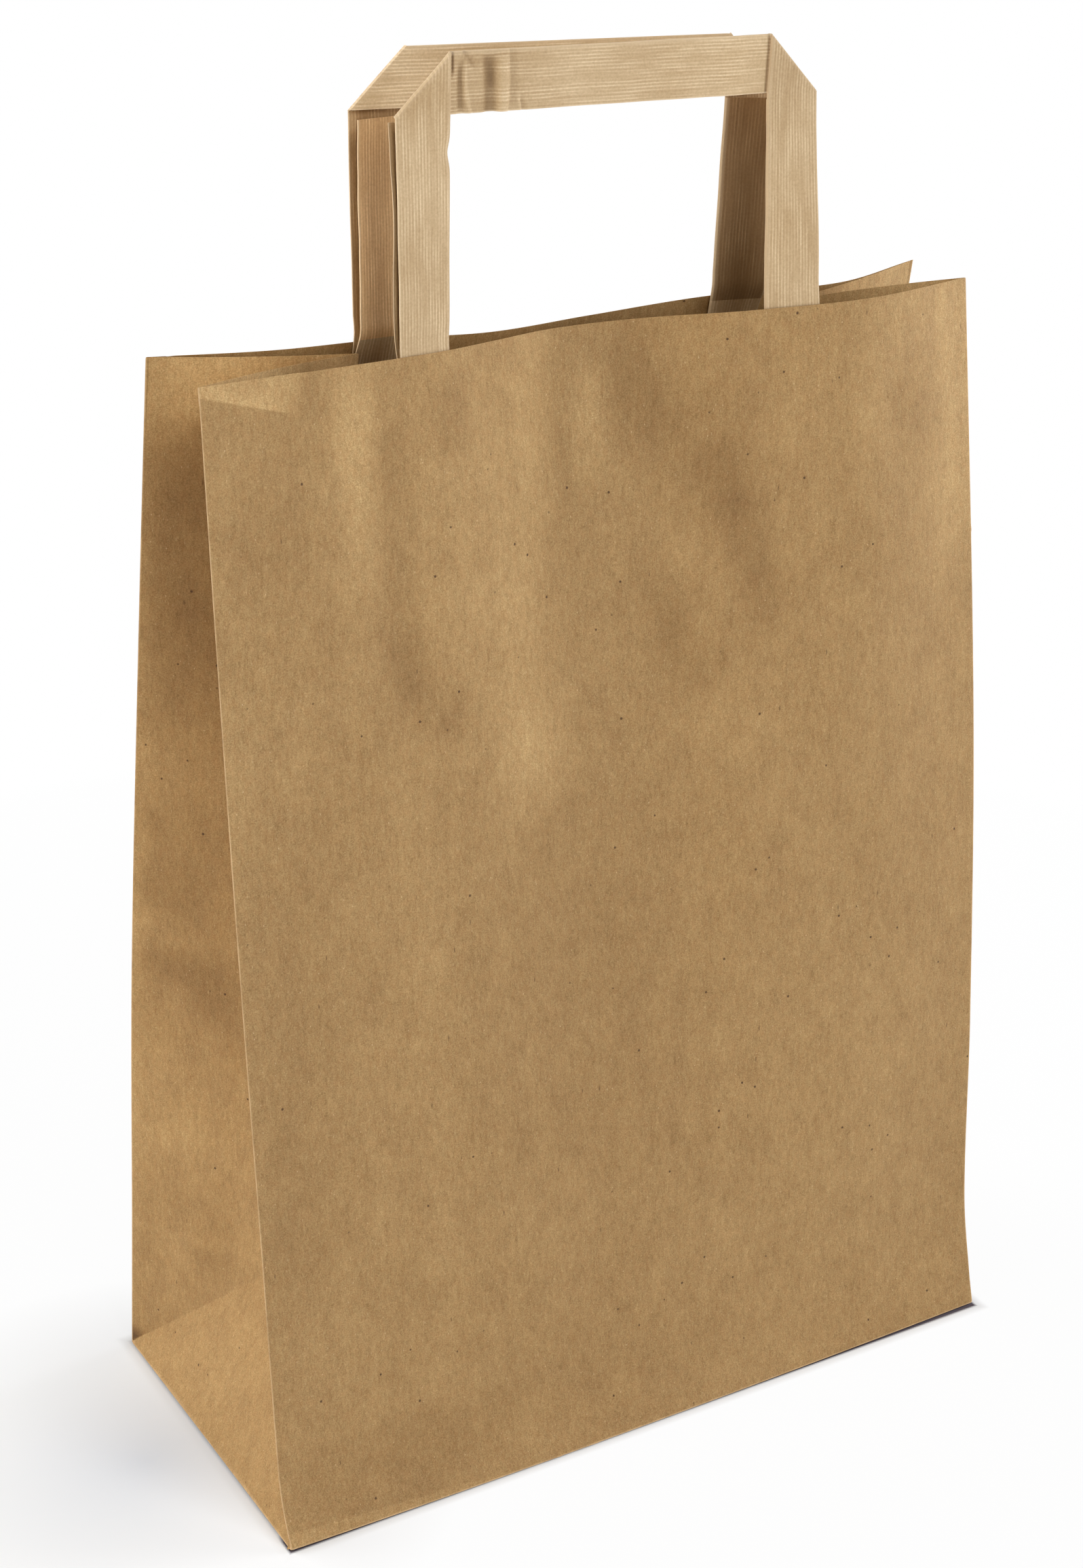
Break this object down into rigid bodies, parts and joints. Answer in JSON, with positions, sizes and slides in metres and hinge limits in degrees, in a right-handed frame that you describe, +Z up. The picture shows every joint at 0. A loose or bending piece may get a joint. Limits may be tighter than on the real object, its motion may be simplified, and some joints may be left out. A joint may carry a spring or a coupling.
{
  "type": "paper carrier bag",
  "caption": "Open brown paper carrier bag with a block bottom, gusseted sides and flat folded paper handles.",
  "frame": {"origin": "middle of the base, on the surface that the bag stands on", "axes": "+Z up, +X along the width of the front panel to its right, +Y from the front panel to the back panel"},
  "size_m": [0.26, 0.1236, 0.427],
  "materials": {
    "sheet": "unbleached kraft paper, matt, faintly mottled",
    "strip": "ribbed kraft paper, with fine ribs along the strip"
  },
  "bodies": {
    "root": {"bag_body": "sheet", "front_handle": "strip", "rear_handle": "strip", "front_patch": "sheet", "rear_patch": "sheet"}
  },
  "joints": []
}
